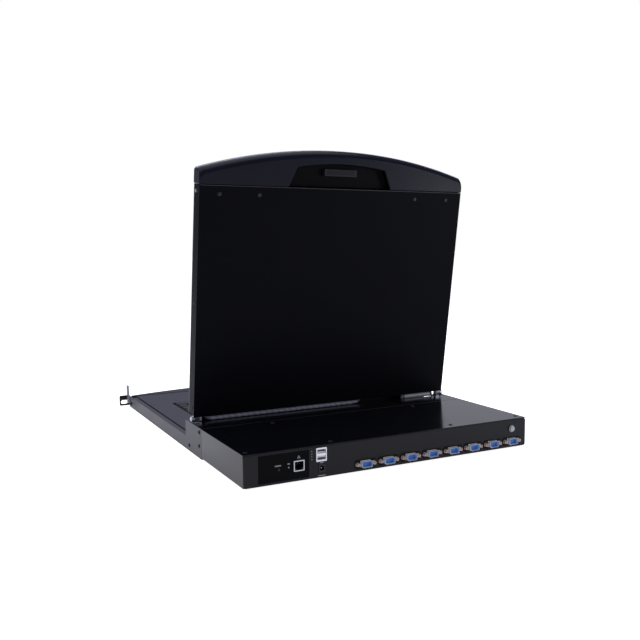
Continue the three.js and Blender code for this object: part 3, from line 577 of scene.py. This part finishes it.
def make_video_sockets():
    """Eight sockets: a black gasket, a nickel D shell, a blue insert with pin holes and two hexagon posts."""
    gasket, shell, insert, pins, posts = (bmesh.new() for _ in range(5))
    plate_half, plate_radius, plate_thick = (16.2, 6.1), 3.2, 0.3
    shell_half, shell_radius = (8.45, 7.45, 4.2), 2.1
    insert_half, insert_radius, insert_front = (7.9, 6.9, 3.65), 1.6, 1.6
    pin_pitch, row_pitch, pin_radius, pin_sunk = 2.29, 1.85, 0.42, 1
    post_spacing = 25
    for port in PORT_NUMBERS:
        low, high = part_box(f"video_port_{port}")
        x, z = (low.x + high.x) / 2 / MM, (low.z + high.z) / 2 / MM
        panel, tip = REAR / MM, high.y / MM
        outline = rounded_loop(*plate_half, plate_radius, 5)
        plate = [Vector(((x + px) * MM, 0, (z + pz) * MM)) for px, pz in outline]
        loft(gasket, [[p + BACK * y * MM for p in plate] for y in (panel - plate_thick, panel + plate_thick)])
        outside = ((panel + 0.1, 0.35), (panel + 0.5, 0.3), (panel + 0.9, 0), (tip - 0.5, 0), (tip, -0.15))
        inside = ((tip, -0.3), (tip - 0.4, -0.4), (panel + 0.5, -0.4))
        loft(shell, [d_loop(x, z, y, *(half + grow for half in shell_half), shell_radius + grow)
                     for y, grow in outside + inside], end_cap=False)
        face = panel + insert_front
        loft(insert, [d_loop(x, z, y, *(half - cut for half in insert_half), insert_radius)
                      for y, cut in ((panel + 0.6, 0), (face - 0.3, 0), (face, 0.3))])
        for row, shift in ((1, 0.2), (0, -0.95), (-1, 0.2)):
            for column in range(-2, 3):
                across, height = x + column * pin_pitch + shift, z + row * row_pitch
                place = Vector((across, face - pin_sunk, height)) * MM
                turned(pins, [(pin_radius, 0), (pin_radius, pin_sunk + 0.03)], place, BACK, 8)
        for end in (-1, 1):
            place = Vector((x + end * post_spacing / 2, panel, z)) * MM
            hexagon = [(2.4, 0.2), (2.4, 4.0), (2.1, 4.4), (1.5, 4.4), (1.3, 4.1), (1.3, 1.2)]
            turned(posts, hexagon, place, BACK, 6)
            turned(posts, [(2.7, 0.25), (2.7, 0.5), (2.2, 0.55)], place, BACK, 20)
    settle(make_object("socket_gaskets", gasket), "port_black", "housing")
    settle(make_object("socket_shells", shell), "nickel", "housing", VIDEO_PORTS)
    settle(make_object("socket_inserts", insert), "port_blue", "housing")
    settle(make_object("socket_holes", pins), "port_black", "housing")
    settle(make_object("socket_posts", posts), "brass", "housing")


# ---- network, USB and power sockets -----------------------------------------------------------------


def frame_ring(shape, middle, outer, inner, near, far):
    """A thin frame across Y: outer and inner are half sizes in millimetres, the rest is in metres."""
    rings, corner = [], 0.4
    for half, y in ((outer, near), (outer, far), (inner, far), (inner, near)):
        loop = rounded_loop(*half, corner, 2)
        rings.append([Vector(((middle.x / MM + x) * MM, y, (middle.z / MM + z) * MM)) for x, z in loop])
    loft(shape, rings + [rings[0]], False, False)


def make_network_socket():
    """The network socket's shield, eight sloping contacts and two small lamps."""
    jack = centre("lan_jack")
    shield, outer, inner, lower = bmesh.new(), (7.5, 6.9), (6.2, 5.6), Vector((0, 0, 0.001))
    frame_ring(shield, jack - lower, outer, inner, REAR - 0.002, REAR + COLLAR)
    settle(make_object("network_shield", shield), "zinc", "housing")
    contacts = bmesh.new()
    contact_pitch, contact_depth, contact_rise, contact_slope = 0.00102, 0.0105, 0.0038, -28
    contact_half, contact_length = 0.00018, 0.0082
    for index in range(8):
        x = jack.x + (index - 3.5) * contact_pitch
        start = Vector((x, REAR - contact_depth, jack.z + contact_rise))
        slope = Matrix.Translation(start) @ Matrix.Rotation(math.radians(contact_slope), 4, "X")
        block(contacts, (-contact_half, 0, -0.0002), (contact_half, contact_length, 0.0001), slope)
    settle(make_object("network_contacts", contacts), "brass", "housing")
    lights, half_width, half_height, thick = bmesh.new(), 1.1, 0.8, 0.5
    to_rear = Matrix.Rotation(math.radians(-90), 4, "X")
    for end in (-1, 1):
        x, z, front = jack.x / MM + end * 5.6, jack.z / MM - 4.9, REAR / MM + 0.9
        low = (x - half_width, -z - half_height, front - thick)
        rounded_box(lights, low, (x + half_width, -z + half_height, front), 0.2, 0.1, to_rear)
    settle(make_object("network_lights", lights), "light_amber", "housing")


def make_usb_sockets():
    """Two stacked sockets: a white tongue with four contacts in each, and one collar round both."""
    stack = centre("usb_stack")
    tongues, strips = bmesh.new(), bmesh.new()
    spacing, tongue_half, tongue_back, tongue_front = 0.00845, 0.0055, 0.0112, 0.0002
    strip_pitch, strip_half, strip_thick, strip_back, strip_front = 0.0024, 0.0005, 0.0001, 0.0105, 0.0015
    for level in (-1, 1):
        z = stack.z + level * spacing / 2
        low, high = sorted((z - level * 0.0023, z - level * 0.0004))
        block(tongues, (stack.x - tongue_half, REAR - tongue_back, low),
              (stack.x + tongue_half, REAR - tongue_front, high))
        foot = high if level > 0 else low - strip_thick
        for index in range(4):
            x = stack.x + (index - 1.5) * strip_pitch
            block(strips, (x - strip_half, REAR - strip_back, foot),
                  (x + strip_half, REAR - strip_front, foot + strip_thick))
    settle(make_object("usb_tongues", tongues), "tongue_white", "housing")
    settle(make_object("usb_contacts", strips), "brass", "housing")
    collar, outer, inner = bmesh.new(), (7.5, 8.9), (6.2, 7.5)
    frame_ring(collar, stack, outer, inner, REAR - 0.001, REAR + COLLAR)
    settle(make_object("usb_collar", collar), "nickel", "housing")


def make_power_socket():
    """The power socket's centre pin and the rim round its hole."""
    power = centre("dc_jack")
    pin, pin_depth, rim_depth = bmesh.new(), 0.009, 0.0092
    turned(pin, [(0.95, 0), (0.95, 7.4), (0.5, 8)], (power.x, REAR - pin_depth, power.z), BACK, 16)
    settle(make_object("power_pin", pin), "nickel", "housing")
    ring = bmesh.new()
    rim = [(3.25, 8.0), (3.25, 9.9), (3.05, 10), (2.85, 9.9), (2.85, 8.0)]
    turned(ring, rim, (power.x, REAR - rim_depth, power.z), BACK, 28)
    settle(make_object("power_ring", ring), "port_black", "housing")


# ---- printed marks: numbers, bars and plain symbols --------------------------------------------------


def printed_number(text, size, matrix):
    """A printed number, as a thin flat mesh."""
    curve = bpy.data.curves.new("number", "FONT")
    curve.body = text
    curve.size = size * MM
    curve.align_x = "CENTER"
    curve.align_y = "CENTER"
    source = bpy.data.objects.new("number", curve)
    bpy.context.scene.collection.objects.link(source)
    bpy.context.view_layer.update()
    mesh = bpy.data.meshes.new_from_object(source.evaluated_get(bpy.context.evaluated_depsgraph_get()))
    mesh.transform(matrix)
    bpy.data.objects.remove(source)
    return mesh


def make_marks():
    """Socket numbers, plain bars and a triangle printed on the rear panel, and the status lamp."""
    marks = bmesh.new()
    ink = 0.00006
    lift = REAR + ink
    facing = Matrix.Rotation(math.radians(180), 4, "Z") @ Matrix.Rotation(math.radians(90), 4, "X")
    number_size, number_drop = 2.7, 0.0013
    for port in PORT_NUMBERS:
        low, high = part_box(f"video_port_{port}")
        place = Matrix.Translation(((low.x + high.x) / 2, lift, low.z - number_drop))
        mesh = printed_number(str(port), number_size, place @ facing)
        marks.from_mesh(mesh)
        bpy.data.meshes.remove(mesh)

    def bar(x, z, width, height):
        loop = rounded_loop(width / 2, height / 2, height * 0.45, 3)
        ring = [Vector(((x + px) * MM, lift, (z + pz) * MM)) for px, pz in loop]
        marks.faces.new([marks.verts.new(point) for point in ring])

    jack, stack, power, reset = (centre(n) / MM for n in ("lan_jack", "usb_stack", "dc_jack", "reset_button"))
    for level in (-0.9, 0.9):
        bar(reset.x + 1.3, reset.z + 5.2 + level * 0.6, 9.4 - abs(level), 0.55)
    lamp_column = 14.2
    bar(jack.x + lamp_column, jack.z + 2.9, 3.4, 1.2)
    bar(power.x, power.z - 9.6, 11, 0.9)
    bar(power.x, power.z + 7.2, 5, 1.3)
    peak = Vector((jack.x, 0, jack.z + 12.4))
    corners = [peak, peak + Vector((-2.3, 0, -4)), peak + Vector((2.3, 0, -4))]
    inner = [peak + Vector((0, 0, -1.3)), peak + Vector((-1.3, 0, -3.4)), peak + Vector((1.3, 0, -3.4))]
    outer_ring = [marks.verts.new((c.x * MM, lift, c.z * MM)) for c in corners]
    inner_ring = [marks.verts.new((c.x * MM, lift, c.z * MM)) for c in inner]
    for index in range(3):
        after = (index + 1) % 3
        marks.faces.new((outer_ring[index], outer_ring[after], inner_ring[after], inner_ring[index]))
    for column in range(4):
        bar(stack.x + 13.5, stack.z - 5 + column * 3.4, 1.1, 1.1)
    settle(make_object("panel_marks", marks), "mark_white", "housing")
    lamp = bmesh.new()
    lamp_place = ((jack.x + lamp_column) * MM, REAR, (jack.z - 1.6) * MM)
    turned(lamp, [(1.1, -0.5), (1.1, 0.25), (0.7, 0.5)], lamp_place, BACK, 16)
    settle(make_object("status_lamp", lamp), "lamp_clear", "housing")


# ---- keys -----------------------------------------------------------------------------------------


def cap_boxes(node):
    """The flat top of each key cap of a CAD key row, as (x0, x1, y0, y1, z) in millimetres."""
    mesh, level, touching = NODES[node].data, 0.00005, 0.0001
    top = max(v.co.z for v in mesh.vertices)
    spans = []
    for polygon in mesh.polygons:
        corners = [mesh.vertices[index].co for index in polygon.vertices]
        if min(c.z for c in corners) > top - level:
            spans.append([min(c.x for c in corners), max(c.x for c in corners), min(c.y for c in corners),
                          max(c.y for c in corners)])
    spans.sort()
    caps = []
    for span in spans:
        if caps and span[0] < caps[-1][1] - touching:
            last = caps[-1]
            caps[-1] = [join(old, new) for join, old, new in zip((min, max, min, max), last, span)]
        else:
            caps.append(span)
    return [[value / MM for value in cap] + [top / MM] for cap in caps]


def key_cap(shape, x0, x1, y0, y1, top):
    """A cap that narrows upwards and has a shallow dished top."""
    middle = ((x0 + x1) / 2, (y0 + y1) / 2)
    half = ((x1 - x0) / 2, (y1 - y0) / 2)
    rings, least, corner, hair = [], 0.6, 1.5, 0.05
    skirt, rim = ((-0.6, 5.2), (-0.5, 4.4)), ((0.9, 0.7), (1.25, 0.2))
    dish = ((1.8, 0), (2.6, 0.12), (4.2, 0.3))
    for inset, drop in skirt + rim + dish:
        width, depth = max(half[0] - inset, least), max(half[1] - inset, least)
        loop = rounded_loop(width, depth, min(corner, width - hair, depth - hair), 4)
        rings.append([Vector((middle[0] + x, middle[1] + y, top - drop)) * MM for x, y in loop])
    loft(shape, rings)


def make_keys():
    for row, node in enumerate(KEY_ROWS, 1):
        caps = bmesh.new()
        for cap in cap_boxes(node):
            key_cap(caps, *cap)
        settle(make_object(f"key_caps_{row}", caps), "key_plastic", node, (node,))


# ---- cable and hinge line ---------------------------------------------------------------------------


def sweep(shape, points, radius, steps=14):
    """A round tube along points, in metres."""
    rings = []
    for index, point in enumerate(points):
        ahead = points[min(index + 1, len(points) - 1)] - points[max(index - 1, 0)]
        turn = ahead.normalized().to_track_quat("Z", "Y").to_matrix()
        rings.append([point + turn @ (Vector((math.cos(a), math.sin(a), 0)) * radius) for a in
                      (2 * math.pi * step / steps for step in range(steps))])
    loft(shape, rings)


def make_cable():
    """A bundle in a spiral wrap that runs under the lid and turns up into it at both ends."""
    radius, run, through, bend, top = 3.3, 6.9, -1, 9, 24
    left, right, wrap_thick = -52, 192, 0.7

    def lid_point(x, s):
        return LID @ (Vector((x, through, s)) * MM)

    quarter = [math.radians(90 * step / 8) for step in range(9)]
    route = [lid_point(right + bend, top)]
    route += [lid_point(right + bend * math.cos(a), run + bend * (1 - math.sin(a))) for a in quarter]
    route += [lid_point(left - bend * math.sin(a), run + bend * (1 - math.cos(a))) for a in quarter]
    route.append(lid_point(left - bend, top))
    core = bmesh.new()
    sweep(core, route, (radius - wrap_thick) * MM)
    settle(make_object("cable_core", core), "cable_core", "lid", ("cable_harness",))
    wrap = bmesh.new()
    pitch, band, thick, steps, sunk, ease = 10, 8.8, 0.4, 24, 0.12, 0.4
    section = ((-band / 2, -thick), (-band / 2 + ease, 0), (band / 2 - ease, 0), (band / 2, -thick))
    turns = (right - left) / pitch
    rings = []
    for step in range(int(turns * steps) + 1):
        angle = 2 * math.pi * step / steps
        x = left + pitch * step / steps
        ring = []
        for along, out in section:
            reach = radius - sunk + out
            local = Vector((x + along, through + reach * math.cos(angle), run + reach * math.sin(angle)))
            ring.append(LID @ (local * MM))
        rings.append(ring)
    loft(wrap, rings)
    settle(make_object("cable_wrap", wrap), "cable_sleeve", "lid")


def make_seam_lines():
    """Thin lighter strips as painted highlights: on the hem of the lid's sheet under the handle, and on the
    cover's front seam.
    """
    hem, half, front, back, low, high = bmesh.new(), SIDE - 0.0047, 0.0043, 0.0048, 0.3452, 0.3459
    block(hem, (-half, front, low), (half, back, high), LID)
    # painted highlight: a lighter strip along the lid sheet's hem
    settle(make_object("lid_hem_painted_highlight", hem), "rail_steel", "lid")
    seam, half, line, raised, sunk = bmesh.new(), SIDE - 0.002, BRIDGE[1].y, 0.0001, 0.0002
    block(seam, (-half, line - 0.0004, TOP - sunk), (half, line + 0.0005, TOP + raised))
    # painted highlight: a lighter strip along the cover's front seam
    settle(make_object("cover_seam_painted_highlight", seam), "rail_steel", "housing")


def make_hinge_trim():
    """Pale bushes on the lid's lower corners, and collars on the bright hinge tube."""
    bush_side, bush_height = 219.9, 8
    for name, side in SIDES.items():
        bush = bmesh.new()
        across = LID.to_3x3() @ Vector((side, 0, 0))
        place = LID @ (Vector((side * bush_side, 0, bush_height)) * MM)
        turned(bush, [(4.15, -1.2), (4.15, 1.6), (3.7, 2.25), (2.1, 2.35), (1.8, 1.9)], place, across, 28)
        settle(make_object(f"corner_bush_{name}", bush), "bush_pale", "lid")
    low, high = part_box("hinge_tube")
    collars = bmesh.new()
    tube_height = 0.0071
    for x in (low.x + 0.002, high.x - 0.004):
        place = LID @ Vector((x, 0, tube_height))
        turned(collars, [(4.0, -0.2), (4.35, 0), (4.35, 2.4), (4.0, 2.6)], place, (1, 0, 0), 28)
    settle(make_object("hinge_tube_collars", collars), "screw_black", "lid")


make_screws()
make_video_sockets()
make_network_socket()
make_usb_sockets()
make_power_socket()
make_marks()
make_keys()
make_cable()
make_seam_lines()
make_hinge_trim()
